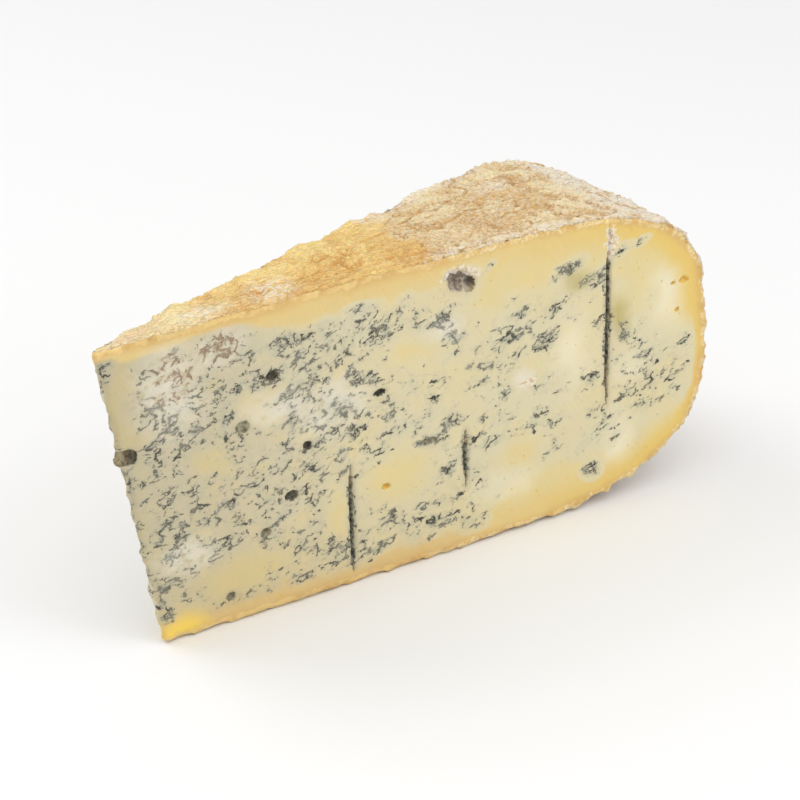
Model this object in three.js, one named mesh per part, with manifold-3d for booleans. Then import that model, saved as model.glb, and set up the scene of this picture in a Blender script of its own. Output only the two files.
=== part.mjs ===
// A wedge of blue cheese, cut from a low round wheel and standing on the wheel's flat underside.
//
// Frame: millimetres, +Z up, +X from the thin tip to the rinded heel along the middle of the wedge.
// The origin is at the bottom centre of the wedge's bounding box.
// The shown cut face looks towards -Y, the other one towards +Y.

import * as THREE from "three";
import { ConvexGeometry } from "three/addons/geometries/ConvexGeometry.js";
import { mergeVertices } from "three/addons/utils/BufferGeometryUtils.js";
import Module from "manifold-3d";

// ---- Driving dimensions -------------------------------------------------------------------------

// The wheel that the wedge was cut from.
const WHEEL_RADIUS = 170;
const WHEEL_HEIGHT = 78;
const WIDEST_HEIGHT = 37; // height of the heel's widest line
const TOP_FLAT_RADIUS = 102; // where the top starts to fall towards the heel
const BOTTOM_FLAT_RADIUS = 110; // where the underside starts to rise towards the heel
const TOP_SQUARENESS = 3.3; // exponent of the heel's upper quarter, 2 is an ellipse
const BOTTOM_SQUARENESS = 2.7; // exponent of the heel's lower quarter

// The two cuts and the blunt tip between them.
const WEDGE_ANGLE = 17; // degrees between the two cut faces
const TIP_DISTANCE = 12; // from the wheel's axis to the tip, at the top
const TIP_LEAN = 12; // how much further from the axis the tip is at the bottom
const TIP_WIDTH = 2; // width of the blunt tip

// Unevenness of the rind, as heights of the waves in it.
const TOP_RELIEF = 0.55;
const HEEL_RELIEF = 0.9;

// Needle channels opened by the cuts: slender slits that run up and down the face.
// u is the distance from the wheel's axis along the face, low and high are the slit's ends.
const FRONT_SLITS = [
  { u: 141.5, low: 26, high: 75, width: 1.5, depth: 3.2 },
  { u: 72.2, low: 2.5, high: 32, width: 1.3, depth: 2.6 },
  { u: 102.6, low: 16, high: 32, width: 1.1, depth: 2 },
];
const BACK_SLITS = [
  { u: 56.5, low: 30, high: 68, width: 1.4, depth: 2.8 },
  { u: 91, low: 6, high: 39, width: 1.3, depth: 2.4 },
  { u: 127, low: 24, high: 71, width: 1.5, depth: 3 },
];

// Open pockets in the cut faces: along and up are their sizes on the face.
const FRONT_POCKETS = [
  { u: 101.3, z: 70.6, along: 6.2, up: 5.8, depth: 3.6 },
  { u: 98.9, z: 72.3, along: 3.6, up: 3, depth: 2.2 },
  { u: 103.9, z: 69, along: 3, up: 4.2, depth: 2.4 },
  { u: 18.8, z: 49.9, along: 3, up: 3.6, depth: 2.4 },
  { u: 45.6, z: 49.3, along: 3.6, up: 3.2, depth: 1.8 },
  { u: 57, z: 28.3, along: 3.8, up: 2.8, depth: 2 },
  { u: 61.5, z: 40, along: 2.6, up: 2.4, depth: 2 },
  { u: 53.4, z: 60, along: 3.2, up: 2.6, depth: 1.8 },
  { u: 93.2, z: 31.4, along: 4.4, up: 2, depth: 1.4 },
  { u: 80.2, z: 48, along: 3.4, up: 1.8, depth: 1.4 },
  { u: 50.2, z: 20.8, along: 3, up: 2.6, depth: 1.7 },
  { u: 40.6, z: 6.9, along: 2.6, up: 2.4, depth: 1.4 },
  { u: 162.9, z: 54.4, along: 2.8, up: 1.7, depth: 1.3 },
  { u: 159.8, z: 54.2, along: 1.6, up: 1.2, depth: 1 },
  { u: 161.1, z: 46.9, along: 1.4, up: 1.4, depth: 0.9 },
  { u: 81.2, z: 23.1, along: 2.2, up: 1.5, depth: 1.1 },
];
const BACK_POCKETS = [
  { u: 38, z: 46, along: 4.6, up: 3.4, depth: 2.2 },
  { u: 65, z: 19, along: 5.2, up: 3, depth: 2 },
  { u: 78, z: 57, along: 6, up: 4.4, depth: 3 },
  { u: 107, z: 33, along: 4, up: 3, depth: 1.8 },
  { u: 118, z: 60, along: 3, up: 2.4, depth: 1.6 },
  { u: 143, z: 44, along: 3.6, up: 2.6, depth: 1.8 },
];

// ---- Fineness of the facets ---------------------------------------------------------------------

const WHEEL_SEGMENTS = 360;
const FLAT_STEP = 4;
const SHOULDER_STEPS = 18;
const CAVITY_SEGMENTS = 12;
const CAVITY_RINGS = 8;

const HALF_ANGLE = THREE.MathUtils.degToRad(WEDGE_ANGLE / 2);

// ---- Solids -------------------------------------------------------------------------------------

const wasm = await Module();
wasm.setup();

// A closed three.js geometry as a manifold-3d solid.
function solidOf(geometry) {
  const bare = geometry.index ? geometry.toNonIndexed() : geometry.clone();
  bare.deleteAttribute("normal");
  bare.deleteAttribute("uv");
  const merged = mergeVertices(bare, 1e-4);
  const corners = merged.index.array;
  const kept = [];
  for (let i = 0; i < corners.length; i += 3) {
    const [a, b, c] = [corners[i], corners[i + 1], corners[i + 2]];
    if (a !== b && b !== c && c !== a) kept.push(a, b, c);
  }
  return new wasm.Manifold(
    new wasm.Mesh({
      numProp: 3,
      vertProperties: merged.attributes.position.array,
      triVerts: new Uint32Array(kept),
    }),
  );
}

// A manifold-3d solid as a three.js geometry.
function geometryOf(solid) {
  const mesh = solid.getMesh();
  const geometry = new THREE.BufferGeometry();
  geometry.setAttribute("position", new THREE.BufferAttribute(mesh.vertProperties, 3));
  geometry.setIndex(new THREE.BufferAttribute(mesh.triVerts, 1));
  geometry.computeVertexNormals();
  return geometry;
}

// ---- The wheel ----------------------------------------------------------------------------------

// One quarter of the heel, from the flat's edge at flatZ out to the widest line.
function heelQuarter(flatRadius, flatZ, squareness) {
  const points = [];
  for (let i = 0; i <= SHOULDER_STEPS; i++) {
    const turn = (i / SHOULDER_STEPS) * (Math.PI / 2);
    const out = Math.sin(turn) ** (2 / squareness);
    const rise = Math.cos(turn) ** (2 / squareness);
    points.push(
      new THREE.Vector2(
        flatRadius + (WHEEL_RADIUS - flatRadius) * out,
        WIDEST_HEIGHT + (flatZ - WIDEST_HEIGHT) * rise,
      ),
    );
  }
  return points;
}

// The wheel's half section, from the axis along the underside, round the heel and back over the top.
function wheelProfile() {
  const under = [new THREE.Vector2(0, 0)];
  const over = [];
  for (let r = TOP_FLAT_RADIUS - FLAT_STEP; r > FLAT_STEP; r -= FLAT_STEP) {
    over.push(new THREE.Vector2(r, WHEEL_HEIGHT));
  }
  over.push(new THREE.Vector2(0, WHEEL_HEIGHT));
  return [
    ...under,
    ...heelQuarter(BOTTOM_FLAT_RADIUS, 0, BOTTOM_SQUARENESS),
    ...heelQuarter(TOP_FLAT_RADIUS, WHEEL_HEIGHT, TOP_SQUARENESS).reverse().slice(1),
    ...over,
  ];
}

// A smooth uneven height between about -1 and 1, from waves that don't repeat over the wheel.
function unevenness(x, y, z) {
  const broad = Math.sin(x * 0.093 + y * 0.061 + 1.3) + Math.sin(y * 0.127 - x * 0.044 + z * 0.09 + 4.1);
  const short = Math.sin(x * 0.31 - y * 0.17 + z * 0.23 + 0.7) + Math.sin(y * 0.39 + x * 0.12 - z * 0.29 + 2.6);
  return broad * 0.32 + short * 0.18;
}

// The whole wheel, with a flat underside and an uneven top and heel.
function wheelSolid() {
  const geometry = new THREE.LatheGeometry(wheelProfile(), WHEEL_SEGMENTS);
  geometry.rotateX(Math.PI / 2);
  const position = geometry.attributes.position;
  for (let i = 0; i < position.count; i++) {
    const [x, y, z] = [position.getX(i), position.getY(i), position.getZ(i)];
    const radius = Math.hypot(x, y);
    if (z < 1e-3 || radius < 1e-3) continue;
    const wave = unevenness(x, y, z);
    const out = THREE.MathUtils.smoothstep(radius, BOTTOM_FLAT_RADIUS, WHEEL_RADIUS);
    const onTop = THREE.MathUtils.smoothstep(z, WHEEL_HEIGHT * 0.7, WHEEL_HEIGHT);
    const grow = 1 + (wave * HEEL_RELIEF * out) / radius;
    position.setXYZ(i, x * grow, y * grow, z + wave * TOP_RELIEF * onTop);
  }
  return solidOf(geometry);
}

// ---- The cuts -----------------------------------------------------------------------------------

// Directions along the two cut faces from the tip, seen from above.
const FRONT_ALONG = new THREE.Vector2(Math.cos(HALF_ANGLE), -Math.sin(HALF_ANGLE));
const BACK_ALONG = new THREE.Vector2(Math.cos(HALF_ANGLE), Math.sin(HALF_ANGLE));
const TIP_TO_APEX = TIP_WIDTH / (2 * Math.sin(HALF_ANGLE));

// Where the planes of the two cuts meet at a height.
function apexAt(z) {
  const lean = TIP_LEAN * (1 - z / WHEEL_HEIGHT);
  return FRONT_ALONG.clone().multiplyScalar(TIP_DISTANCE - TIP_TO_APEX + lean);
}

// The space between the two cuts, blunt at the tip and open past the heel.
function wedgeSpace() {
  const reach = WHEEL_RADIUS * 1.2;
  const corners = [];
  for (const z of [-WHEEL_HEIGHT * 0.2, WHEEL_HEIGHT * 1.2]) {
    const apex = apexAt(z);
    for (const along of [FRONT_ALONG, BACK_ALONG]) {
      for (const distance of [TIP_TO_APEX, reach]) {
        const corner = apex.clone().addScaledVector(along, distance);
        corners.push(new THREE.Vector3(corner.x, corner.y, z));
      }
    }
  }
  return solidOf(new ConvexGeometry(corners));
}

// An ellipsoid sunk into a cut face: its centre lies on the face, and its depth goes straight in.
function cavity(place, angle, u, z, along, up, depth) {
  const geometry = new THREE.SphereGeometry(1, CAVITY_SEGMENTS, CAVITY_RINGS);
  geometry.rotateX(Math.PI / 2);
  geometry.scale(along / 2, depth, up / 2);
  geometry.rotateZ(angle);
  const spot = place(u, z);
  geometry.translate(spot.x, spot.y, z);
  return solidOf(geometry);
}

// The point of the front face at distance u from the wheel's axis.
function onFront(u) {
  return FRONT_ALONG.clone().multiplyScalar(u);
}

// The point of the back face at height z whose distance from the wheel's axis is about u.
function onBack(u, z) {
  const apex = apexAt(z);
  return apex.clone().addScaledVector(BACK_ALONG, u - apex.length());
}

function cavities(place, angle, slits, pockets) {
  return [
    ...slits.map((s) => {
      const middle = (s.low + s.high) / 2;
      return cavity(place, angle, s.u, middle, s.width, s.high - s.low, s.depth);
    }),
    ...pockets.map((p) => cavity(place, angle, p.u, p.z, p.along, p.up, p.depth)),
  ];
}

// ---- The wedge ----------------------------------------------------------------------------------

function wedgeSolid() {
  const holes = [
    ...cavities(onFront, -HALF_ANGLE, FRONT_SLITS, FRONT_POCKETS),
    ...cavities(onBack, HALF_ANGLE, BACK_SLITS, BACK_POCKETS),
  ];
  return holes.reduce((left, hole) => left.subtract(hole), wheelSolid().intersect(wedgeSpace()));
}

const cheese = new THREE.Mesh(
  geometryOf(wedgeSolid()),
  new THREE.MeshStandardMaterial({ color: 0xe0cc97, roughness: 0.6, metalness: 0 }),
);
cheese.name = "cheese_wedge";

// Bring the bottom centre of the wedge's box to the origin.
const box = new THREE.Box3().setFromBufferAttribute(cheese.geometry.attributes.position);
const middle = box.getCenter(new THREE.Vector3());
cheese.position.set(-middle.x, -middle.y, -box.min.z);

const wedge = new THREE.Group();
wedge.add(cheese);

export default wedge;
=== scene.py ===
"""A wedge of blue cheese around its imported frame: fine surface, veined paste, mottled rind.

Blender works in metres, +Z up. The sizes named here are in millimetres, and MM turns them into metres.
A place on the wedge is (along, up): the distance from the tip end of its box, and the height.
"""

import math

import bmesh
import bpy
import numpy as np
from mathutils import Matrix, Vector, noise
from mathutils.bvhtree import BVHTree


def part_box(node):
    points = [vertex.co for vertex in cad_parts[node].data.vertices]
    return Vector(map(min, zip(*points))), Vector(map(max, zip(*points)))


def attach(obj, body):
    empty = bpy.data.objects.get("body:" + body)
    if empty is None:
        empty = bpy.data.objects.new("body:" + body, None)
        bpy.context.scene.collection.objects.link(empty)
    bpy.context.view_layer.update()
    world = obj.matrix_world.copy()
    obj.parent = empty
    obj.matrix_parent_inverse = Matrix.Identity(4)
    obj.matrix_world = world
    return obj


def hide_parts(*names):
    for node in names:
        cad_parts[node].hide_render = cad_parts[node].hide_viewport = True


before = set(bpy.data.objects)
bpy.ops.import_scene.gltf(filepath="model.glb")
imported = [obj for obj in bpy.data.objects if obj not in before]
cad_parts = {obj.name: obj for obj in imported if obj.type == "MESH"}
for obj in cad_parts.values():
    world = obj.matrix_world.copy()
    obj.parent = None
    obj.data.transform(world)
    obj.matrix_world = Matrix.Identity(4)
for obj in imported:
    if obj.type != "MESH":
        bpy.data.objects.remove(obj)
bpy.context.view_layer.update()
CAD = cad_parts["cheese_wedge"]
MM = 0.001
TIP_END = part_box("cheese_wedge")[0].x  # in metres
WHEEL_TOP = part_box("cheese_wedge")[1].z / MM

# ---- Driving sizes, in millimetres --------------------------------------------------------------

COARSE = 1.5  # spacing of the mesh on the plain parts of the cut faces
REFINEMENTS = 2  # how often that spacing is halved on the rind and round the hollows
RIND_THICKNESS = 0.8
DEEPEST_DIP = 1.8  # of the uneven rind below the hull
SEARCH_DEPTH = 8  # how far under a cut face the bottom of a hollow is looked for
WAXY_END = 86  # how far along the waxy yellow rind of the tip has given way to the tan rind
HEEL_START = 127  # how far along the heel's whitish rind begins

# Streaks of mould on the shown cut face: along, up, half length, half height, tilt in degrees, strength.
STREAKS = [
    (117, 66, 4, 2, 25, 1),
    (124, 62, 5, 1.6, 20, 1),
    (131, 67, 2.6, 1.5, 20, 0.9),
    (125.8, 61.5, 2.6, 1.4, -55, 1),
    (137, 68, 2.5, 1, 10, 0.8),
    (104, 58, 4.5, 1.6, 12, 0.9),
    (113, 56, 3, 1.2, 10, 0.9),
    (103, 52, 5, 2, 15, 0.9),
    (111, 49, 3.6, 3, 35, 1),
    (95, 47, 3.5, 2, -20, 0.8),
    (87, 57, 3.4, 1.8, 0, 0.9),
    (83, 62, 4, 2.2, 20, 0.9),
    (68, 63, 3, 3.6, -35, 1),
    (59, 61, 4, 1.8, 15, 0.9),
    (62, 71, 3.4, 1.3, 0, 0.7),
    (45, 67, 5.5, 3, 0, 0.9),
    (41, 60, 3.5, 2, 10, 1),
    (35, 61, 5, 3, 0, 0.75),
    (30, 52, 4, 2, 40, 0.8),
    (57, 47, 5, 3, -25, 0.9),
    (63, 53, 5, 2.4, -20, 0.9),
    (100, 39, 2.4, 2.8, -30, 0.9),
    (124, 35, 3.2, 2, 20, 0.9),
    (132.5, 45, 2, 2.6, -30, 1),
    (124, 26, 3, 2, 45, 0.7),
    (131, 18, 2.4, 1.8, 30, 0.7),
    (134, 29, 5, 1.4, 25, 0.78),
    (140, 23, 4, 1.2, 25, 0.72),
    (138, 38, 4, 1.4, 15, 0.72),
    (150, 38, 3, 1.6, 35, 0.75),
    (148, 30, 4, 1.4, 20, 0.72),
    (124, 10.5, 2.6, 2.6, 45, 0.9),
    (111, 18, 2.6, 1.6, 35, 0.6),
    (108, 28, 5, 2, 10, 0.7),
    (97, 27, 6, 1.4, 5, 0.9),
    (86, 35, 4.6, 2, 0, 0.9),
    (79, 32, 3.6, 1.6, 0, 1),
    (94, 33, 2.8, 0.9, 0, 0.9),
    (85, 22, 5, 2.2, 25, 0.7),
    (84, 8.5, 7, 1.7, 5, 0.8),
    (66, 7, 5, 2, 25, 0.8),
    (69, 42, 3, 0.9, 0, 0.9),
    (88.5, 70.5, 5.5, 4.2, 0, 0.45),
    (96, 72, 2, 0.9, 10, 0.9),
    (12, 50, 6, 4, 0, 0.7),
    (1, 72, 3, 4, 0, 1),
    (12, 7, 2.5, 2, 0, 1),
    (28, 71, 7, 4.5, 0, 0.8),
    (14, 60, 8, 10, 60, 0.62),
    (23, 52, 8, 6, 30, 0.65),
    (47, 55, 8, 3, 20, 0.75),
    (51, 39, 6, 3, 20, 0.7),
    (36, 34, 6, 3, 10, 0.7),
    (24, 29, 6, 3, 0, 0.75),
    (12, 30, 4, 2.5, 20, 0.75),
    (17, 27, 3, 5, -30, 0.8),
    (28, 21, 5, 3, 10, 0.7),
    (50, 19, 4, 3, 0, 0.7),
    (8, 38, 5, 2, 10, 0.65),
    (15, 16, 5, 2.5, 0, 0.65),
    (60, 41, 2.4, 2.4, 20, 0.9),
    (57, 34, 3.5, 2, 20, 0.75),
    (55, 12, 3, 4, 20, 0.7),
    (42, 9, 6, 2, 0, 0.6),
    (91, 6, 4, 2.5, 0, 0.75),
    (81, 10, 3, 3, 0, 0.85),
    (75, 69, 3, 2, 0, 0.6),
    (64, 69, 5, 2.5, 10, 0.7),
    (127.8, 47, 1.3, 17, 0, 1),
    (59.5, 17, 1.2, 13, 0, 0.9),
    (89.6, 25, 1.3, 8, 0, 0.9),
    (92.5, 28.5, 3.2, 0.8, 25, 1),
]

# Fine soft mould low on the heel side: along, up, half length, half height, tilt.
FINE_MOULD = (142, 31, 14, 11, 25)
FINE_MOULD_STRENGTH = 0.56

# Clear waxy patches with little mould: along, up, half length, half height.
CLEAR_PATCHES = [
    (5, 62, 4, 9),
    (39, 53, 5.5, 3.8),
    (71, 25, 9, 6.5),
    (32, 12, 9, 4.5),
    (24, 43, 4, 2.6),
    (15, 3, 7, 4),
    (56, 20, 3, 6),
    (110, 68, 16, 5),
    (138, 59, 9, 9),
    (146, 52, 6, 6),
    (118, 45, 5, 7),
    (105, 20, 5, 5),
    (111, 11, 10, 5),
    (76, 56, 6, 3),
    (96, 64, 6, 4),
    (134, 34, 1.6, 4),
]

# Needle slits in the cut faces, one on the shown side and one on the hidden side in each row:
# along, low end, high end.
SLITS = [
    ((128.1, 22, 74), (113.6, 24, 71)),
    ((59.5, 2.5, 32), (78.0, 6, 39)),
    ((89.6, 16, 33), (44.0, 30, 68)),
]
# The stretches of the same slits where their mould is darkest and painted shade darkens them further.
DARK_MOULD_AND_SHADE_PARTS = [
    ((128.1, 40, 62), (113.6, 34, 60)),
    ((59.5, 5, 23), (78.0, 10, 32)),
    ((89.6, 22, 24), (44.0, 36, 60)),
]

# The groove in the shown cut between the tip and the pocket beside it.
TIP_HOLE_HEIGHT = 50
LIP_REACH = 1.4  # how far in from the tip cut its mouldy lip goes
LIP_DEPTH = 1.2
GROOVE_DEPTH = 1.3

# Holes lined with the darkest mould and darkened further by painted shade of their depth: along, up,
# half length, half height.
HOLES_WITH_PAINTED_SHADE = [
    (8.6, 50, 3, 5),
    (48.8, 40, 3, 3),
    (41, 60, 1.7, 1.7),
    (44.5, 28.3, 1.6, 2),
    (67.5, 48, 3, 3),
    (92.8, 70.2, 1.4, 2.4),
    (87, 73.4, 2, 0.7),
]

# White bloom of young mould: along, up, half length, half height.
BLOOMS = [
    (16.5, 63.5, 7, 10),
    (28, 70.5, 6, 4),
    (55, 48, 8, 6),
    (42, 52, 7, 3),
    (18, 21, 6, 4),
    (106, 40, 3, 2),
    (84, 60, 4, 2.6),
]
# The same for raised white fluff, and for mould that is brown.
FLUFF_PATCHES = [(128.1, 70.5, 1.3, 5), (87.8, 73.2, 4.5, 1.9), (106, 40, 2.4, 1.4)]
FLUFF_FILL = 0.8  # the part of a hollow's depth that fluff fills
BROWN_PATCHES = [(28, 71, 6, 4), (17, 66, 5, 5), (88.5, 71, 6, 4.5)]

# Patches of paler and of olive paste, and the waxy yellow corner: along, up, half length, half height.
CREAM_PATCHES = [(145, 52, 6, 8), (118, 44, 5, 10), (134, 36, 3, 5), (131, 17, 4, 8), (100, 14, 8, 4)]
WAXY_CORNER = (16, 1.5, 5.5, 4)
OLIVE_PATCHES = [(120, 62, 3.2, 2.6), (131, 50, 2.2, 4)]

# Marks in the top's rind: along, across (0 is the middle), radius, height (below 0 is a pit).
RIND_MARKS = [
    (93, 0, 2.6, -1.2),
    (60, 4, 1.2, -0.5),
    (69, 3, 0.9, -0.5),
    (42, 0, 4, -0.5),
    (108, 3, 2, -0.9),
]
# A bed of granules in the top's rind, and whitish patches of it: along, across, half length, half width.
GRANULE_BED = (66, 1, 7, 7)
DUSTY_PATCHES = [(27, -1, 6, 2.5), (44.5, -2, 5, 4.5), (116, 8, 5, 2)]


# ---- Camera, floor and light --------------------------------------------------------------------

CAMERA_AZIMUTH = -37.8  # degrees, 0 looks along +Y
CAMERA_ELEVATION = 29.15
CAMERA_ROLL = -1.23
CAMERA_DISTANCE = 665
CAMERA_LENS = 129.6
SENSOR_WIDTH = 36
AIM = (1.7, -1.3, 39)  # right and up in the picture, and height of the point looked at

FLOOR_REACH = 4000
FLOOR_DROP = 0.2  # of the floor below the wedge's foot
FLOOR_WHITE = 0.9
SKY_STRENGTH = 0.62
# Softboxes: name, azimuth, elevation, distance, size, watts.
SOFTBOXES = [
    ("overhead", -10, 70, 900, 900, 2.9),
    ("side", 30, 35, 1000, 500, 1.6),
    ("behind", -150, 45, 1000, 600, 2.6),
]


def direction(azimuth, elevation):
    """The unit vector from the wedge towards an azimuth and elevation in degrees."""
    a, e = math.radians(azimuth), math.radians(elevation)
    return Vector((math.sin(a) * math.cos(e), -math.cos(a) * math.cos(e), math.sin(e)))


def make_camera():
    back = direction(CAMERA_AZIMUTH, CAMERA_ELEVATION)
    level_right = Vector((0, 0, 1)).cross(back).normalized()
    level_up = back.cross(level_right)
    aim_right, aim_up, aim_height = (MM * size for size in AIM)
    target = Vector((0, 0, aim_height)) + level_right * aim_right + level_up * aim_up
    roll = math.radians(CAMERA_ROLL)
    right = level_right * math.cos(roll) + level_up * math.sin(roll)
    turn = Matrix((right, back.cross(right), back)).transposed().to_4x4()
    data = bpy.data.cameras.new("camera")
    data.lens = CAMERA_LENS
    data.sensor_width = SENSOR_WIDTH
    camera = bpy.data.objects.new("camera", data)
    bpy.context.collection.objects.link(camera)
    camera.matrix_world = Matrix.Translation(target + back * CAMERA_DISTANCE * MM) @ turn
    bpy.context.scene.camera = camera


def make_softbox(name, azimuth, elevation, distance, size, power):
    """A square lamp that looks at the wedge."""
    data = bpy.data.lights.new(name, "AREA")
    data.size = size * MM
    data.energy = power
    lamp = bpy.data.objects.new(name, data)
    bpy.context.collection.objects.link(lamp)
    lamp.location = direction(azimuth, elevation) * distance * MM
    lamp.rotation_mode = "QUATERNION"
    lamp.rotation_quaternion = direction(azimuth, elevation).to_track_quat("Z", "Y")


def make_floor():
    reach = FLOOR_REACH * MM
    corners = [(-reach, -reach, 0), (reach, -reach, 0), (reach, reach, 0), (-reach, reach, 0)]
    mesh = bpy.data.meshes.new("floor")
    mesh.from_pydata(corners, [], [(0, 1, 2, 3)])
    floor = bpy.data.objects.new("floor", mesh)
    bpy.context.collection.objects.link(floor)
    floor.location.z = -FLOOR_DROP * MM
    paint = bpy.data.materials.new("floor_paint")
    paint.use_nodes = True
    shader = paint.node_tree.nodes["Principled BSDF"]
    shader.inputs["Base Color"].default_value = (FLOOR_WHITE, FLOOR_WHITE, FLOOR_WHITE, 1)
    shader.inputs["Roughness"].default_value = 0.8
    mesh.materials.append(paint)


def make_studio():
    make_floor()
    world = bpy.data.worlds.new("studio")
    world.use_nodes = True
    sky = world.node_tree.nodes["Background"]
    sky.inputs["Color"].default_value = (1, 1, 1, 1)
    sky.inputs["Strength"].default_value = SKY_STRENGTH
    bpy.context.scene.world = world
    for softbox in SOFTBOXES:
        make_softbox(*softbox)
    bpy.context.scene.view_settings.view_transform = "Standard"


# ---- The frame's planes and rind ----------------------------------------------------------------


def largest_plane(facing):
    """(unit normal, offset) of the widest flat area of the CAD wedge that faces a direction."""
    areas = {}
    for face in CAD.data.polygons:
        if face.normal.dot(facing) > 0.8:
            key = tuple(round(x, 3) for x in face.normal)
            area, normal, offset = areas.get(key, (0, Vector(), 0))
            areas[key] = (
                area + face.area,
                normal + face.normal * face.area,
                offset + face.normal.dot(face.center) * face.area,
            )
    area, normal, offset = max(areas.values(), key=lambda found: found[0])
    return np.array(normal.normalized()), offset / area


FRONT_CUT = largest_plane(Vector((0, -1, 0)))
BACK_CUT = largest_plane(Vector((0, 1, 0)))
TIP_CUT = largest_plane(Vector((-1, 0, 0)))
CUTS = (FRONT_CUT, BACK_CUT, TIP_CUT)


def below(plane, points):
    """How far points in metres lie inside a plane, in millimetres."""
    normal, offset = plane
    return (offset - points @ normal) / MM


def along_a_cut(normal):
    return any(abs(normal.dot(Vector(plane[0]))) > 0.999 for plane in CUTS)


def nearest_cut(point):
    """(distance in metres inside it, unit normal) of the cut plane that is nearest to a point."""
    gaps = [(offset - point.dot(Vector(normal)), Vector(normal)) for normal, offset in CUTS]
    return min(gaps, key=lambda found: abs(found[0]))


def hull_of_cad():
    """The CAD wedge's convex hull, which has no slits and pockets."""
    hull = bmesh.new()
    for vertex in CAD.data.vertices:
        hull.verts.new(vertex.co)
    bmesh.ops.convex_hull(hull, input=hull.verts)
    inside = [v for v in hull.verts if not v.link_faces]
    bmesh.ops.delete(hull, geom=inside, context="VERTS")
    hull.verts.index_update()
    hull.normal_update()
    return hull


class SearchTrees:
    """Search trees of the whole CAD wedge, of its rind, and of the walls of its hollows."""

    def __init__(self, hull):
        outer = [[v.index for v in f.verts] for f in hull.faces if not along_a_cut(f.normal)]
        outside = BVHTree.FromPolygons([v.co.copy() for v in hull.verts], outer)
        rind, walls = [], []
        for face in CAD.data.polygons:
            near = outside.find_nearest(face.center)[3] < DEEPEST_DIP * MM
            if near and not along_a_cut(face.normal):
                rind.append(tuple(face.vertices))
            elif min(abs(below(plane, np.array(face.center))) for plane in CUTS) > 0.02:
                walls.append(tuple(face.vertices))
        corners = [v.co for v in CAD.data.vertices]
        self.whole = BVHTree.FromPolygons(corners, [tuple(f.vertices) for f in CAD.data.polygons])
        self.rind = BVHTree.FromPolygons(corners, rind)
        self.walls = BVHTree.FromPolygons(corners, walls)

    def under_cut(self, point, gap, normal):
        """Where a line straight into the cut at a point meets the wedge, or None."""
        start = point + normal * (gap + 1 * MM)
        return self.whole.ray_cast(start, -normal, SEARCH_DEPTH * MM)[0]


# ---- Fields over the wedge ----------------------------------------------------------------------


def smooth(values, low, high):
    """0 below low and 1 above high, smooth between. low may be the larger one."""
    t = np.clip((values - low) / (high - low), 0, 1)
    return t * t * (3 - 2 * t)


def waves(points, size, octaves=1, stretch=(1, 1, 1), shift=0.0):
    """Smooth noise from about -1 to 1 at points in millimetres, with bumps about `size` across."""
    scaled = points / (np.array(stretch) * size) + shift
    return np.array([noise.fractal(p, 0.9, 2.0, octaves) for p in scaled.tolist()])


def cells(points, size, shift=0.0):
    """0 at the middle of each grain of a packed bed of grains, rising to about 1 between them."""
    scaled = (points / size + shift).tolist()
    return np.array([noise.voronoi(p)[0][0] for p in scaled])


def ellipse(along, up, spot):
    """How much points belong to a spot (along, up, half length, half height, tilt): 1 inside."""
    centre_along, centre_up, half_length, half_height = spot[:4]
    tilt = math.radians(spot[4]) if len(spot) > 4 else 0
    a, b = along - centre_along, up - centre_up
    x = (a * math.cos(tilt) + b * math.sin(tilt)) / half_length
    y = (b * math.cos(tilt) - a * math.sin(tilt)) / half_height
    return smooth(np.hypot(x, y), 1.8, 0.2)


class Surface:
    """The fine mesh's points with what the looks need to know of each, in millimetres."""

    def __init__(self, mesh, trees):
        self.points = np.zeros((len(mesh.vertices), 3))
        mesh.vertices.foreach_get("co", self.points.ravel())
        self.normals = np.zeros((len(mesh.vertices), 3))
        mesh.vertex_normals.foreach_get("vector", self.normals.ravel())
        self.mm = self.points / MM
        self.along = (self.points[:, 0] - TIP_END) / MM
        self.up = self.mm[:, 2]
        self.depth = np.array([trees.rind.find_nearest(p)[3] for p in self.points.tolist()]) / MM
        self.gaps = np.array([below(plane, self.points) for plane in CUTS])
        self.cut_gap = self.gaps.min(0)
        self.shown = smooth(self.gaps[1] - self.gaps[0], -1, 1)  # 1 on the shown side
        self.hollow = smooth(self.cut_gap, 0.1, 0.5) * smooth(self.depth, 0.8, 1.6)
        self.rind = smooth(self.depth, RIND_THICKNESS, RIND_THICKNESS * 0.4)
        self.wall_gap = np.array([trees.walls.find_nearest(p)[3] for p in self.points.tolist()]) / MM
        self.hollow *= smooth(self.wall_gap, 1.2, 0.6)
        beside_hole = np.abs(self.up - TIP_HOLE_HEIGHT)
        self.lip = smooth(self.gaps[2], LIP_REACH, 0.3) * smooth(beside_hole, 2.6, 0.6)
        self.groove = smooth(beside_hole, 2.5, 1.2) * smooth(self.gaps[2], 3.4, 2.2)
        self.groove *= smooth(self.gaps[0], 0.6, 0.2)  # from the tip to the hole, on the shown cut
        self.lip = np.maximum(self.lip, self.groove)
        self.hollow = np.maximum(self.hollow, self.lip)


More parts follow.
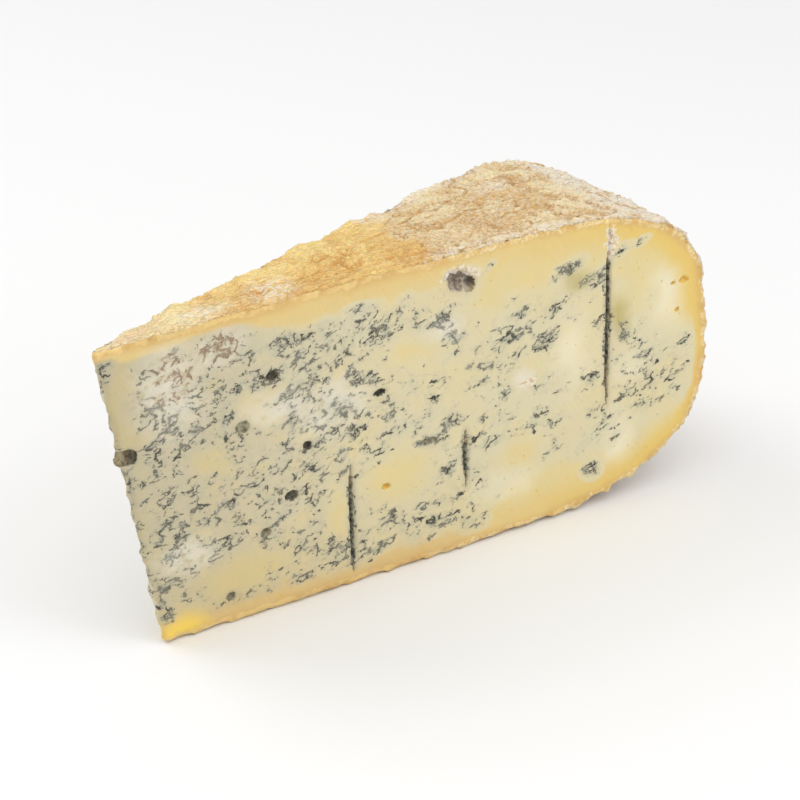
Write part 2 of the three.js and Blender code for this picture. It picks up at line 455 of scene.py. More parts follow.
def mould_density(s):
    """How thick the mould grows at each point, 0 to 1."""
    wander = waves(s.mm, 9, 2)
    dense_side = smooth(s.along, 90, 50)
    patchy = waves(s.mm, 6, 2, shift=31.0)
    scattered = 0.44 + 0.12 * dense_side + (0.24 - 0.06 * dense_side) * patchy
    streaks = np.zeros(len(s.along))
    for spot in STREAKS:
        streaks = np.maximum(streaks, spot[5] * ellipse(s.along + wander, s.up - wander * 0.6, spot))
    fine = FINE_MOULD_STRENGTH * ellipse(s.along + wander * 2, s.up - wander, FINE_MOULD)
    streaks = np.maximum(streaks, fine)
    shown = scattered * (1 - 0.8 * clear_patches(s))
    hidden = scattered + 0.3 * waves(s.mm, 11, 2, shift=7.0)
    low_band = 4.2 + 1 * smooth(s.along, 52, 66) + 8 * smooth(s.along, 85, 110)
    top_band = 4.8 + 3.5 * smooth(s.along, 30, 50) + 5 * smooth(s.along, 84, 98)
    band = np.where(s.up > WHEEL_TOP / 2, top_band, low_band) * (1 + 0.2 * wander)
    clear_of_rind = smooth(s.depth, band * 0.8, band * 1.2)
    streak_room = smooth(s.depth, 2.5, 4)
    density = np.where(s.shown > 0.5, shown, hidden) * clear_of_rind
    return np.clip(np.maximum(density, np.where(s.shown > 0.5, streaks, 0) * streak_room), 0, 1)


def patches(s, spots, size, shift, fewest, most):
    """Uneven patches: the given spots on the shown cut, random ones elsewhere. 1 inside.

    size is the random patches' size, and their noise rises from fewest to most at their edges.
    """
    wander = waves(s.mm, 6, 3, shift=shift) * 2
    found = np.zeros(len(s.along))
    for spot in spots:
        found = np.maximum(found, ellipse(s.along + wander, s.up - wander, spot))
    elsewhere = smooth(waves(s.mm, size, 2, shift=shift + 10), fewest, most)
    return np.where(s.shown > 0.5, found, elsewhere)


def clear_patches(s):
    return patches(s, CLEAR_PATCHES, 12, 19.0, 0.15, 0.5)


def bloom_patches(s):
    return patches(s, BLOOMS, 14, 23.0, 0.25, 0.6) * smooth(s.depth, 2, 4 + 8 * (1 - s.shown))


def slit_walls(s, slits, fade):
    """1 in and beside needle slits, which end over a length `fade`."""
    found = np.zeros(len(s.along))
    for shown, hidden in slits:
        for (along, low, high), side in ((shown, s.shown), (hidden, 1 - s.shown)):
            beside = smooth(np.abs(s.along - along), 1.9, 1.2)
            within = smooth(s.up, low - fade, low) * smooth(s.up, high + fade, high)
            found = np.maximum(found, side * beside * within)
    return found


def holes_with_painted_shade(s):
    """1 in the holes with the darkest mould and painted shade, and rather dark in the hidden cut's
    holes.
    """
    found = 0.6 * (1 - s.shown)
    for spot in HOLES_WITH_PAINTED_SHADE:
        found = np.maximum(found, s.shown * ellipse(s.along, s.up, spot))
    return found


def dusty_patches(s):
    """Whitish patches on the top's rind, and a whitish rim along the aged part's cuts: 1 inside."""
    rim = smooth(s.cut_gap + 1.2 * waves(s.mm, 3, 2, shift=33.0), 4.5, 0.5)
    found = rim * smooth(s.along, WAXY_END - 10, WAXY_END - 4)
    for spot in DUSTY_PATCHES:
        found = np.maximum(found, ellipse(s.along, s.mm[:, 1], spot))
    return found * smooth(s.up, WHEEL_TOP - 6, WHEEL_TOP - 3)


def rind_relief(s):
    """Height of the rind's folds, granules, crevices and pits, in millimetres."""
    waxy_part = smooth(s.along + 5 * waves(s.mm, 8, 2), WAXY_END, WAXY_END - 8)
    on_top = smooth(s.up, WHEEL_TOP - 9, WHEEL_TOP - 4)
    lumps = 0.45 * waves(s.mm, 16, 2, shift=2.0)
    lumps += on_top * smooth(s.gaps[1], 8, 1) * waves(s.mm, 9, 2, shift=44.0)
    folds = 0.2 - 0.6 * np.abs(waves(s.mm, 1.3, 2, stretch=(5.5, 1, 1), shift=8.0))
    ruffle = 0.30 * waves(s.mm, 1.1, 2, stretch=(1.6, 1, 1), shift=4.0)
    bed = ellipse(s.along, s.mm[:, 1], GRANULE_BED) * on_top
    granules = 1.5 * (0.45 - cells(s.mm, 1.7))
    waxy = folds * (1 - 0.8 * bed) + ruffle * 0.2 + granules * bed
    crevices = -0.9 * smooth(np.abs(waves(s.mm, 8, 3, stretch=(2.6, 1, 1), shift=11.0)), 0.07, 0.0)
    pits = -0.9 * smooth(waves(s.mm, 2.0, 1, shift=14.0), 0.5, 0.7)
    grains = 0.5 * (0.5 - cells(s.mm, 1.0, shift=5.0))
    shoulder = smooth(s.along, 108, 128) * 0.7 * waves(s.mm, 3.6, 3, shift=35.0)
    crust = ruffle * 0.5 + crevices * 0.6 + pits + grains + 0.2 * folds + shoulder
    relief = lumps + waxy_part * waxy + (1 - waxy_part) * crust
    for along, across, radius, height in RIND_MARKS:
        relief += height * on_top * smooth(np.hypot(s.along - along, s.mm[:, 1] - across), radius, 0)
    return relief


def fill_with_fluff(s, fluff):
    """Moves the walls of the shown cut's hollows most of the way out to the cut where fluff grows."""
    filled = fluff * s.shown * s.hollow * s.gaps[0] * FLUFF_FILL
    s.points += FRONT_CUT[0] * (filled * MM)[:, None]


def shape_surface(s, fluff):
    """Moves the points by the relief of rind, cuts, fluff and hollows. Returns the rind's relief."""
    relief = rind_relief(s)
    outer = smooth(s.depth, 1.2, 0.2) * (1 - s.hollow)
    underside = smooth(s.up, 0.8, 0.1)
    shift = relief * outer * (1 - underside)
    rim = smooth(s.depth, 2.2, 0.4) * smooth(s.cut_gap, 1.3, 0.3) * (1 - s.hollow)
    shift += rim * (0.6 * (0.4 - cells(s.mm, 1.3, shift=9.0)) + 0.45 * waves(s.mm, 5, 2, shift=27.0))
    on_cut = smooth(s.cut_gap, 0.3, 0.05) * (1 - outer)
    shift += on_cut * 0.12 * waves(s.mm, 16, 2, shift=6.0)
    shift += s.hollow * 0.5 * waves(s.mm, 1.4, 2, shift=12.0)
    tufts = 0.3 + 0.7 * waves(s.mm, 1.1, 3, shift=63.0)
    shift += fluff * s.shown * smooth(s.wall_gap, 2.0, 0.8) * tufts
    tip = smooth(s.gaps[2], 2.2, 0.0) * (1 - underside)
    shift += tip * 0.7 * waves(s.mm, 2.6, 3, shift=15.0)
    s.points += s.normals * (shift * MM)[:, None]
    s.points -= FRONT_CUT[0] * (GROOVE_DEPTH * MM * s.groove)[:, None]
    s.points[:, 0] -= LIP_DEPTH * MM * s.lip * smooth(s.gaps[2], LIP_REACH, 0.3)
    hollowed = underside * smooth(waves(s.mm, 6, 3, shift=17.0), 0.0, 0.7) * 0.5
    s.points[:, 2] = np.maximum(s.points[:, 2] + hollowed * MM * (s.up < 0.6), 0)
    return relief


# ---- Material nodes -----------------------------------------------------------------------------


def srgb(red, green, blue):
    """A colour from display values of 0 to 255."""
    linear = [((c / 255 + 0.055) / 1.055) ** 2.4 for c in (red, green, blue)]
    return (*linear, 1)


# Colours of the cut paste.
PLAIN_PASTE = srgb(222, 211, 172)
BUTTERY_PASTE = srgb(230, 211, 154)
CLEAR_PASTE = srgb(230, 210, 148)
GREYED_PASTE = srgb(214, 204, 178)
DULL_PASTE = srgb(194, 180, 142)
TIP_PASTE = srgb(184, 172, 136)
LOW_PASTE = srgb(216, 192, 128)
CREAM_PASTE = srgb(240, 231, 199)
MOULD_HALO = srgb(223, 214, 180)
NEAR_BAND = srgb(230, 205, 140)  # the yellow band under the rind, from the tip to the heel
MIDDLE_BAND = srgb(227, 196, 126)
HEEL_BAND = srgb(232, 201, 112)
UNDER_RIND = srgb(222, 182, 106)
FOOT_BAND = srgb(218, 186, 128)
WAXY_YELLOW = srgb(250, 216, 92)
TINY_PITS = srgb(224, 184, 92)
OLIVE_PASTE = srgb(186, 170, 92)
BLOOM_WHITE = srgb(231, 224, 205)
MOULD_CLOUD = srgb(186, 188, 162)
GREY_HAZE = srgb(174, 171, 154)
BROWN_HAZE = srgb(192, 164, 130)
GREY_SMUDGE = srgb(138, 140, 126)
BROWN_SMUDGE = srgb(160, 130, 98)
TUFTS = srgb(204, 172, 136), srgb(243, 231, 210)
VEINS = srgb(20, 18, 14), srgb(58, 55, 44)
WARM_VEINS = srgb(84, 74, 54)
BROWN_VEINS = srgb(112, 78, 50)

# Colours of the rind: its hollows and crests, then what lies over them.
WAXY_RIND = srgb(211, 150, 72), srgb(242, 204, 128)
WAXY_STREAKS = srgb(228, 179, 98)
WAXY_RIDGES = srgb(250, 222, 146)
# A painted highlight: pale yellow laid on the raised tops of the waxy rind.
WAXY_TOP_HIGHLIGHTS = srgb(254, 226, 152)
# Painted light: a pale colour standing in for the brighter light on the rind at the very tip.
TIP_PAINTED_LIGHT = srgb(248, 231, 190)
TAN_RIND = srgb(206, 160, 98), srgb(243, 219, 170)
TAN_STREAKS = srgb(218, 174, 108)
TAN_DUST = srgb(252, 240, 212)
HEEL_RIND = srgb(210, 172, 122), srgb(244, 230, 208)
HEEL_SPOTS = srgb(210, 164, 100)
DUSTY_WHITE = srgb(248, 236, 214)
CREVICES = srgb(150, 116, 84)
FRINGE_LINE = srgb(212, 168, 98)
FRINGE_CRUMBS = srgb(226, 190, 118), srgb(241, 224, 174)
WAXY_FRINGE = srgb(238, 208, 140)

# Dark and light speckles of the linings of the hollows.
PALE_LINING = srgb(136, 128, 104), srgb(200, 192, 162)
BROWN_LINING = srgb(140, 126, 110), srgb(206, 194, 178)
LIP_LINING = srgb(136, 122, 84), srgb(194, 180, 136)
# The darkest lining: dark mould, and painted shade standing in for the depth of the holes.
DARK_MOULD_AND_SHADE_LINING = srgb(60, 56, 48), srgb(104, 98, 84)
SLIT_LINING = srgb(146, 134, 108), srgb(206, 194, 162)
# Dark slit lining: dark mould, and painted shade standing in for the depth of the slits.
SLIT_MOULD_AND_SHADE_LINING = srgb(78, 80, 70), srgb(182, 180, 160)
FLUFF_LINING = srgb(222, 200, 176), srgb(250, 242, 230)
BARE_LINING = srgb(234, 194, 90)


class Nodes:
    """Short calls that add nodes to a material and join them."""

    def __init__(self, material):
        self.tree = material.node_tree
        self.shader = self.tree.nodes["Principled BSDF"]

    def put(self, socket, value):
        if isinstance(value, bpy.types.NodeSocket):
            self.tree.links.new(value, socket)
        else:
            socket.default_value = value

    def node(self, kind, inputs, output=0, **settings):
        """Adds a node, fills its inputs by number or name, and returns one output."""
        made = self.tree.nodes.new("ShaderNode" + kind)
        for name, value in settings.items():
            setattr(made, name, value)
        for key, value in inputs.items():
            self.put(made.inputs[key], value)
        return made.outputs[output]

    def math(self, operation, a, b=0.0, clamp=False):
        return self.node("Math", {0: a, 1: b}, operation=operation, use_clamp=clamp)

    def add(self, a, b):
        return self.math("ADD", a, b)

    def times(self, a, b):
        return self.math("MULTIPLY", a, b)

    def step(self, value, low, high):
        """0 below low and 1 above high, smooth between."""
        inputs = {0: value, 1: low, 2: high, 3: 0.0, 4: 1.0}
        return self.node("MapRange", inputs, interpolation_type="SMOOTHSTEP")

    def mix(self, factor, a, b, blend="MIX"):
        inputs = {0: factor, 6: a, 7: b}
        return self.node("Mix", inputs, 2, data_type="RGBA", blend_type=blend, clamp_factor=True)

    def vector(self, operation, a, b=(0, 0, 0)):
        return self.node("VectorMath", {0: a, 1: b}, operation=operation)

    def noise(self, place, size, detail=2.0, roughness=0.5, output="Fac"):
        """Noise from 0 to 1 with bumps about `size` millimetres across."""
        inputs = {"Vector": place, "Scale": 1 / size, "Detail": detail, "Roughness": roughness}
        return self.node("TexNoise", inputs, output)

    def along(self, place):
        """How far a place is from the tip end of the wedge's box."""
        return self.add(self.node("SeparateXYZ", {0: place}, 0), -TIP_END / MM)

    def attribute(self, name):
        return self.node("Attribute", {}, "Fac", attribute_name=name)

    def warp(self, place, size, amount):
        """place pushed about by up to `amount` millimetres."""
        push = self.vector("SUBTRACT", self.noise(place, size, 1.0, output="Color"), (0.5, 0.5, 0.5))
        scaled = self.node("VectorMath", {0: push, 3: amount * 2}, operation="SCALE")
        return self.vector("ADD", place, scaled)


def tilted(n, place, degrees):
    """place turned about Y, so that its X runs up along the streaks."""
    inputs = {"Vector": place, "Angle": math.radians(degrees)}
    return n.node("VectorRotate", inputs, rotation_type="Y_AXIS")


def vein_layer(n, place, density, size, gate_size, widest, bar):
    """Ragged cracks between curd grains. Returns (line, how close the place is to having one).

    size is the grains' size and gate_size that of the clusters, which the bar keeps apart. A line is
    1 in its core and less towards its edges.
    """
    swirl = n.noise(place, size, 3.0, 0.5)
    crack = n.math("ABSOLUTE", n.add(swirl, -0.5))
    gate = n.noise(n.vector("ADD", place, (31, 17, 53)), gate_size, 3.0, 0.6)
    wanted = n.add(n.add(gate, n.times(density, 0.5)), -bar)
    uneven = n.add(n.step(n.noise(place, size * 0.8, 1.0), 0.35, 0.65), 0.4)
    thick = n.add(n.times(n.step(density, 0.6, 1.0), 0.3), 1.0)
    width = n.math("MINIMUM", wanted, n.times(n.times(uneven, thick), widest))
    line = n.step(n.math("SUBTRACT", crack, width), 0.010, -0.010)
    core = n.step(n.math("SUBTRACT", crack, n.times(width, 0.55)), 0.006, -0.006)
    line = n.times(line, n.add(0.58, n.times(core, 0.42)))
    return line, n.times(n.step(wanted, -0.1, 0.1), n.step(crack, 0.17, 0.0))


def veins(n, place):
    """Mould veins in the paste: (dark lines, grey haze round them)."""
    density = n.attribute("mould")
    wandering = tilted(n, n.warp(place, 1.3, 0.5), 18)
    stretched = n.vector("DIVIDE", wandering, (1.3, 1.0, 0.92))
    big, big_haze = vein_layer(
        n, stretched, density, size=2.5, gate_size=2.6, widest=0.035, bar=0.80
    )
    small, small_haze = vein_layer(
        n, stretched, density, size=1.1, gate_size=1.7, widest=0.036, bar=0.885
    )
    faintness = n.step(n.noise(place, 3.2, 2.0), 0.38, 0.62)
    lines = n.times(n.math("MAXIMUM", big, n.times(small, 0.95)), n.add(n.times(faintness, 0.45), 0.55))
    present = n.step(density, 0.03, 0.2)
    haze = n.times(n.math("MAXIMUM", big_haze, small_haze), present)
    by_a_wall = n.times(n.step(n.attribute("wall_gap"), 1.6, 0.2), n.step(density, 0.15, 0.35))
    return n.times(lines, present), n.math("MAXIMUM", haze, n.times(by_a_wall, 0.45))


def bare_paste(n, place):
    """Colour of the paste itself: duller and greyer towards the tip, creamy towards the heel."""
    along = n.along(place)
    up = n.node("SeparateXYZ", {0: place}, 2)
    mould = n.attribute("mould")
    broad = n.noise(place, 14, 3.0)
    middling = n.add(n.noise(place, 4.0, 3.0), -0.5)
    colour = n.mix(n.step(broad, 0.38, 0.62), PLAIN_PASTE, BUTTERY_PASTE)
    colour = n.mix(n.times(n.attribute("clear"), 0.8), colour, CLEAR_PASTE)
    grey = n.times(n.step(n.add(mould, n.times(middling, 0.9)), 0.2, 0.7), n.step(along, 120.0, 30.0))
    colour = n.mix(n.times(grey, 0.8), colour, GREYED_PASTE)
    colour = n.mix(n.times(n.step(along, 66.0, 14.0), 0.5), colour, DULL_PASTE)
    colour = n.mix(n.times(n.step(along, 18.0, 4.0), 0.35), colour, TIP_PASTE)
    waxy_low = n.times(n.step(up, 28.0, 6.0), n.step(along, 108.0, 84.0))
    colour = n.mix(n.times(waxy_low, 0.35), colour, LOW_PASTE)
    pale = n.times(n.attribute("cream"), n.step(broad, 0.25, 0.5))
    colour = n.mix(n.times(pale, 0.9), colour, CREAM_PASTE)
    halo = n.times(n.step(mould, 0.03, 0.3), n.step(along, 20.0, 90.0))
    return n.mix(n.times(halo, 0.5), colour, MOULD_HALO)


def banded_paste(n, place, colour):
    """colour with the yellow bands under the rind, the waxy corner, tiny pits and olive patches."""
    along = n.along(place)
    up = n.node("SeparateXYZ", {0: place}, 2)
    mould = n.attribute("mould")
    wavy_depth = n.add(n.attribute("depth"), n.times(n.add(n.noise(place, 9, 2.0), -0.5), 5.0))
    band = n.mix(n.step(along, 90.0, 145.0), NEAR_BAND, HEEL_BAND)
    band = n.mix(n.times(n.step(along, 110.0, 60.0), 0.3), band, MIDDLE_BAND)
    clear_of_mould = n.step(mould, 0.3, 0.05)
    colour = n.mix(n.times(n.step(wavy_depth, 11.0, 3.5), clear_of_mould), colour, band)
    colour = n.mix(n.times(n.step(wavy_depth, 4.0, 0.3), 0.8), colour, UNDER_RIND)
    wavy_up = n.add(up, n.times(n.add(n.noise(place, 4.0, 3.0), -0.5), 6.0))
    low = n.times(n.step(wavy_up, 8.0, 3.0), n.step(along, 100.0, 75.0))
    colour = n.mix(n.times(low, 0.6), colour, FOOT_BAND)
    colour = n.mix(n.attribute("waxy"), colour, WAXY_YELLOW)
    tiny_pits = n.times(n.step(n.noise(place, 1.4, 1.0), 0.70, 0.75), n.step(mould, 0.4, 0.1))
    colour = n.mix(n.times(tiny_pits, 0.6), colour, TINY_PITS)
    return n.mix(n.times(n.attribute("olive"), 0.75), colour, OLIVE_PASTE)


def mouldy_paste(n, place, colour, brown, haze):
    """colour with the white bloom, the clouds and haze of mould, and the fluff."""
    mould = n.attribute("mould")
    bloom = n.times(n.attribute("bloom"), n.step(n.noise(place, 3.0, 4.0, 0.6), 0.3, 0.5))
    colour = n.mix(n.times(bloom, 0.9), colour, BLOOM_WHITE)
    cloud = n.times(n.step(mould, 0.32, 0.9), n.step(n.noise(place, 2.6, 3.0, 0.6), 0.36, 0.58))
    colour = n.mix(n.times(cloud, 0.42), colour, MOULD_CLOUD)
    smudge = n.mix(brown, GREY_HAZE, BROWN_HAZE)
    colour = n.mix(n.times(haze, 0.55), colour, smudge)
    close_smudge = n.mix(brown, GREY_SMUDGE, BROWN_SMUDGE)
    colour = n.mix(n.times(n.step(haze, 0.45, 1.0), 0.45), colour, close_smudge)
    torn = n.times(n.add(n.noise(place, 1.6, 4.0, 0.65), -0.5), 2.2)
    fluff = n.step(n.add(n.attribute("fluff"), torn), 0.45, 0.75)
    tufts = n.step(n.noise(place, 0.8, 3.0, 0.6), 0.36, 0.54)
    return n.mix(n.times(fluff, 0.8), colour, n.mix(tufts, *TUFTS))


def veined_paste(n, place, colour, brown, lines):
    """colour with the dark lines of the veins, fainter under the bloom."""
    dark = n.mix(n.step(n.noise(place, 1.6, 2.0), 0.35, 0.65), *VEINS)
    dark = n.mix(n.times(n.step(n.along(place), 80.0, 40.0), 0.4), dark, WARM_VEINS)
    dark = n.mix(n.times(brown, 0.75), dark, BROWN_VEINS)
    shown_lines = n.times(lines, n.add(0.95, n.times(n.attribute("bloom"), -0.6)))
    return n.mix(shown_lines, colour, dark)


def paste_colour(n, place, lines, haze):
    """Colour of the cut paste with its mould."""
    brown = n.step(n.attribute("brown"), 0.1, 0.6)
    colour = banded_paste(n, place, bare_paste(n, place))
    colour = mouldy_paste(n, place, colour, brown, haze)
    return veined_paste(n, place, colour, brown, lines)


def ridges(n, place):
    """Fine waxy ridges that run along the rind: 1 on their crests."""
    stretched = n.vector("MULTIPLY", n.warp(place, 4, 1.0), (0.4, 1, 1))
    return n.step(n.math("ABSOLUTE", n.add(n.noise(stretched, 1.2, 2.0), -0.5)), 0.13, 0.0)


def waxy_rind(n, place, height):
    """Colour of the yellow rind near the tip, with painted highlights on its tops and painted light
    paling the very tip.
    """
    streaky = n.noise(n.vector("MULTIPLY", place, (0.3, 1, 1)), 1.8, 3.0, 0.6)
    colour = n.mix(n.step(height, -0.55, 0.35), *WAXY_RIND)
    colour = n.mix(n.times(n.step(streaky, 0.45, 0.65), 0.45), colour, WAXY_STREAKS)
    colour = n.mix(n.times(ridges(n, place), 0.4), colour, WAXY_RIDGES)
    # Painted highlights on the raised tops of the waxy rind.
    colour = n.mix(n.times(n.step(height, 0.15, 0.55), 0.6), colour, WAXY_TOP_HIGHLIGHTS)
    # Painted light paling the rind at the very tip.
    return n.mix(n.times(n.step(n.along(place), 44.0, 4.0), 0.75), colour, TIP_PAINTED_LIGHT)


def tan_rind(n, place, height):
    """Colour of the dry dusty rind in the middle."""
    dust = n.step(n.noise(place, 0.9, 4.0, 0.7), 0.42, 0.62)
    long_streaks = n.noise(n.vector("MULTIPLY", place, (0.35, 1, 1)), 5.0, 3.0)
    colour = n.mix(n.step(height, -0.4, 0.3), *TAN_RIND)
    colour = n.mix(n.times(n.step(long_streaks, 0.5, 0.62), 0.6), colour, TAN_STREAKS)
    return n.mix(n.times(dust, n.add(0.75, n.times(long_streaks, -0.5))), colour, TAN_DUST)


def heel_rind(n, place, height):
    """Colour of the whitish rind of the heel with its tan spots."""
    spots = n.step(n.noise(place, 3.8, 4.0, 0.6), 0.53, 0.60)
    colour = n.mix(n.step(height, -0.6, 0.0), *HEEL_RIND)
    return n.mix(n.times(spots, 0.85), colour, HEEL_SPOTS)


def rind_colour(n, place):
    """Colour of the rind: yellow near the tip, tan and dusty further on, whitish on the heel."""
    wander = n.times(n.add(n.noise(place, 7, 3.0), -0.5), 18.0)
    wavy_along = n.add(n.along(place), wander)
    aged = n.step(wavy_along, WAXY_END - 6, WAXY_END)
    heel = n.step(wavy_along, HEEL_START, HEEL_START + 10)
    grain = n.times(n.add(n.noise(place, 0.55, 3.0, 0.65), -0.5), n.add(0.34, n.times(aged, 0.56)))
    height = n.add(n.attribute("relief"), grain)
    colour = n.mix(aged, waxy_rind(n, place, height), tan_rind(n, place, height))
    colour = n.mix(heel, colour, heel_rind(n, place, height))
    dusty = n.times(n.attribute("dusty"), n.step(n.noise(place, 1.2, 3.0, 0.6), 0.38, 0.56))
    colour = n.mix(n.times(dusty, 0.8), colour, DUSTY_WHITE)
    return n.mix(n.step(n.attribute("relief"), -0.8, -1.5), colour, CREVICES)


def fringe_colour(n, place, colour):
    """colour with the crumbly pale fringe where the rind meets the cut, and the dark line inside it."""
    crumbs = n.noise(place, 0.8, 3.0, 0.65)
    depth = n.add(n.attribute("depth"), n.times(n.add(n.noise(place, 2.6, 3.0, 0.6), -0.5), 3.4))
    colour = n.mix(n.times(n.step(depth, 2.8, 0.8), 0.55), colour, FRINGE_LINE)
    pale = n.mix(n.step(crumbs, 0.4, 0.6), *FRINGE_CRUMBS)
    along = n.along(place)
    pale = n.mix(n.step(along, WAXY_END, WAXY_END - 12), pale, WAXY_FRINGE)
    here = n.times(n.step(n.noise(place, 4.5, 3.0), 0.36, 0.54), 0.85)
    return n.mix(n.times(n.step(n.add(depth, crumbs), 2.7, 1.9), here), colour, pale)


def lining_colour(n, place):
    """Colour of the hollows' walls: mould, darkened by painted shade in the darkest holes and slits,
    white fluff, or bare paste where no mould grows.
    """
    speckle = n.step(n.noise(place, 1.1, 4.0, 0.6), 0.36, 0.64)
    mouldy = n.mix(speckle, *PALE_LINING)
    mouldy = n.mix(n.attribute("brown"), mouldy, n.mix(speckle, *BROWN_LINING))
    mouldy = n.mix(n.attribute("lip"), mouldy, n.mix(speckle, *LIP_LINING))
    # The darkest holes: dark mould with painted shade.
    mouldy = n.mix(n.attribute("shade_painted_hole"), mouldy, n.mix(speckle, *DARK_MOULD_AND_SHADE_LINING))
    mouldy = n.mix(n.attribute("slit"), mouldy, n.mix(speckle, *SLIT_LINING))
    # The darkest stretches of the slits: dark mould with painted shade.
    mouldy = n.mix(n.attribute("slit_shade"), mouldy, n.mix(speckle, *SLIT_MOULD_AND_SHADE_LINING))
    mouldy = n.mix(n.step(n.attribute("mould"), 0.3, 0.12), mouldy, BARE_LINING)
    fluff = n.step(n.attribute("fluff"), 0.15, 0.5)
    return n.mix(fluff, mouldy, n.mix(speckle, *FLUFF_LINING))


def roughness(n, place, rind, dry):
    """Roughness of the surface: the paste is satin, the waxy rind smoother and the dry rind matt."""
    rough = n.add(n.add(0.42, n.times(n.times(rind, dry), 0.42)), n.times(rind, -0.16))
    return n.add(rough, n.times(n.add(n.noise(place, 3.0, 3.0), -0.5), 0.25))


def fine_bumps(n, place, rind, dry, lines):
    """Normal with the rind's grain and ridges, and the paste's knife marks and sunk veins."""
    grain = n.times(n.noise(place, 0.6, 4.0, 0.65), n.add(0.25, n.times(dry, 0.2)))
    fine_rind = n.times(n.add(grain, n.times(ridges(n, place), 0.35)), rind)
    dragged = n.vector("MULTIPLY", tilted(n, place, -55), (0.06, 1, 1))
    knife = n.add(n.times(n.noise(dragged, 1.1, 2.0), 0.12), n.times(n.noise(place, 1.8, 3.0), 0.08))
    fine_paste = n.times(knife, n.math("SUBTRACT", 1.0, rind))
    sunk = n.times(lines, n.times(n.math("SUBTRACT", 1.0, rind), -0.22))
    height = n.add(n.add(fine_rind, fine_paste), sunk)
    return n.node("Bump", {"Height": height, "Distance": MM, "Strength": 1.0}, "Normal")


def make_cheese_material():
    material = bpy.data.materials.new("blue_cheese")
    material.use_nodes = True
    n = Nodes(material)
    place = n.node("VectorMath", {0: n.node("TexCoord", {}, "Object"), 3: 1 / MM}, operation="SCALE")
    lines, haze = veins(n, place)
    ragged = n.times(n.add(n.noise(place, 1.2, 3.0), -0.5), 0.9)
    rind = n.step(n.add(n.attribute("rind"), ragged), 0.35, 0.65)
    paste = fringe_colour(n, place, paste_colour(n, place, lines, haze))
    colour = n.mix(rind, paste, rind_colour(n, place))
    ragged = n.times(n.add(n.noise(place, 0.9, 3.0, 0.6), -0.5), 0.9)
    hollow = n.step(n.add(n.attribute("hollow"), ragged), 0.3, 0.5)
    colour = n.mix(hollow, colour, lining_colour(n, place))
    dry = n.step(n.along(place), WAXY_END - 10, WAXY_END)
    n.put(n.shader.inputs["Base Color"], colour)
    n.put(n.shader.inputs["Roughness"], roughness(n, place, rind, dry))
    n.put(n.shader.inputs["Normal"], fine_bumps(n, place, rind, dry, lines))
    n.shader.inputs["Subsurface Weight"].default_value = 0.35
    n.shader.inputs["Subsurface Radius"].default_value = (1.0, 0.65, 0.3)
    n.shader.inputs["Subsurface Scale"].default_value = 2.0 * MM
    n.shader.inputs["Specular IOR Level"].default_value = 0.45
    return material


# ---- The cheese ---------------------------------------------------------------------------------


def even_mesh(hull):
    """A mesh of even squares over the hull."""
    rough = bpy.data.meshes.new("hull")
    hull.to_mesh(rough)
    stand_in = bpy.data.objects.new("hull", rough)
    bpy.context.collection.objects.link(stand_in)
    remesh = stand_in.modifiers.new("even", "REMESH")
    remesh.mode = "VOXEL"
    remesh.voxel_size = COARSE * MM
    depsgraph = bpy.context.evaluated_depsgraph_get()
    mesh = bpy.data.meshes.new_from_object(stand_in.evaluated_get(depsgraph))
    bpy.data.objects.remove(stand_in)
    return mesh


def needs_detail(point, trees):
    """Whether the mesh is refined at a point: on the rind, and over and round the hollows."""
    rind_gap = trees.rind.find_nearest(point)[3]
    if rind_gap < 1.5 * MM:
        return point.z > 1.0 * MM
    gap, normal = nearest_cut(point)
    below_cut = trees.under_cut(point, gap, normal)
    sunk = below_cut is not None and (point - below_cut).length > 0.7 * COARSE * MM
    return sunk or trees.walls.find_nearest(point)[3] < 0.9 * MM


def settled(point, trees):
    """The place of a point of the even mesh on the CAD wedge: on its rind, a cut, or in a hollow."""
    on_rind, _, _, rind_gap = trees.rind.find_nearest(point)
    gap, normal = nearest_cut(point)
    if rind_gap < abs(gap):
        return on_rind
    return trees.under_cut(point, gap, normal) or on_rind


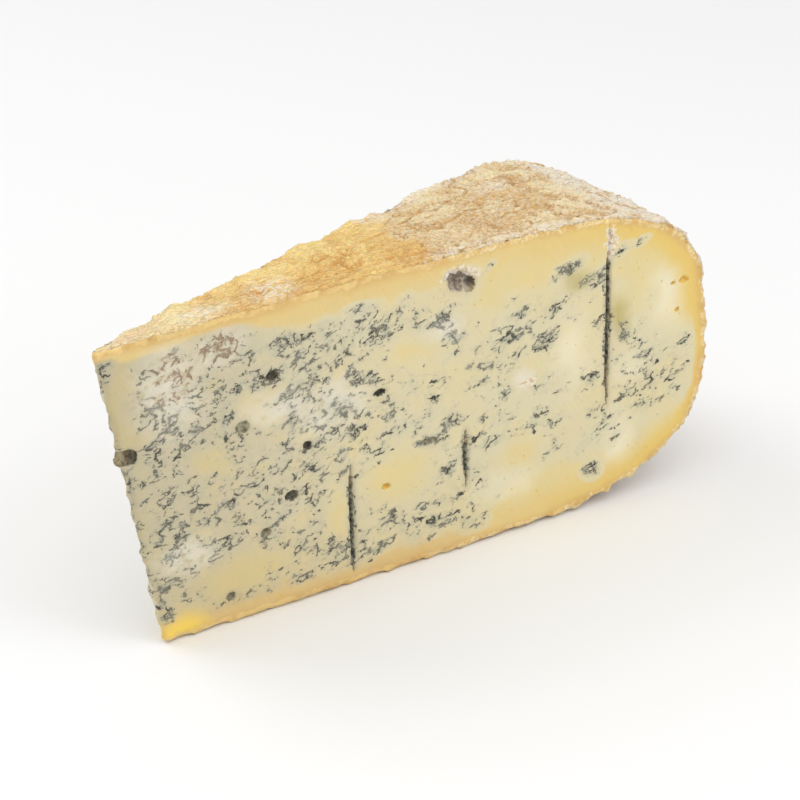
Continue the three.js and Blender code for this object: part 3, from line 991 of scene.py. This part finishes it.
def fine_mesh():
    """(mesh, search trees): the CAD wedge's surface in a fine mesh, finest where it has detail."""
    hull = hull_of_cad()
    trees = SearchTrees(hull)
    mesh = even_mesh(hull)
    hull.free()
    work = bmesh.new()
    work.from_mesh(mesh)
    for _ in range(REFINEMENTS):
        chosen = [f for f in work.faces if needs_detail(f.calc_center_median(), trees)]
        edges = list({edge for face in chosen for edge in face.edges})
        bmesh.ops.subdivide_edges(work, edges=edges, cuts=1, use_grid_fill=True)
    for vertex in work.verts:
        vertex.co = settled(vertex.co, trees)
    bmesh.ops.triangulate(work, faces=[f for f in work.faces if len(f.verts) > 4])
    work.to_mesh(mesh)
    work.free()
    return mesh, trees


def save_field(mesh, name, values):
    mesh.attributes.new(name, "FLOAT", "POINT").data.foreach_set("value", values.astype(np.float32))


def make_cheese():
    mesh, trees = fine_mesh()
    cheese = bpy.data.objects.new("cheese", mesh)
    bpy.context.collection.objects.link(cheese)
    s = Surface(mesh, trees)
    fluff = patches(s, FLUFF_PATCHES, 6, 53.0, 0.7, 0.9)
    fields = {
        "mould": mould_density(s),
        "clear": clear_patches(s),
        "bloom": bloom_patches(s),
        "fluff": fluff,
        "brown": patches(s, BROWN_PATCHES, 12, 57.0, 0.5, 0.8),
        "depth": s.depth,
        "hollow": s.hollow,
        "wall_gap": s.wall_gap,
        "lip": s.lip,
        "slit": slit_walls(s, SLITS, 1),
        "slit_shade": slit_walls(s, DARK_MOULD_AND_SHADE_PARTS, 5),
        "shade_painted_hole": holes_with_painted_shade(s),
        "rind": s.rind,
        "dusty": dusty_patches(s),
        "cream": patches(s, CREAM_PATCHES, 15, 41.0, 0.2, 0.5),
        "waxy": ellipse(s.along, s.up, WAXY_CORNER),
        "olive": patches(s, OLIVE_PATCHES, 6, 47.0, 0.7, 0.9),
        "relief": shape_surface(s, fluff),
    }
    fill_with_fluff(s, fluff)
    mesh.vertices.foreach_set("co", s.points.ravel())
    for name, values in fields.items():
        save_field(mesh, name, values)
    mesh.shade_smooth()
    mesh.materials.clear()
    mesh.materials.append(make_cheese_material())
    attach(cheese, "root")
    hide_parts("cheese_wedge")
    return cheese


make_camera()
make_studio()
make_cheese()
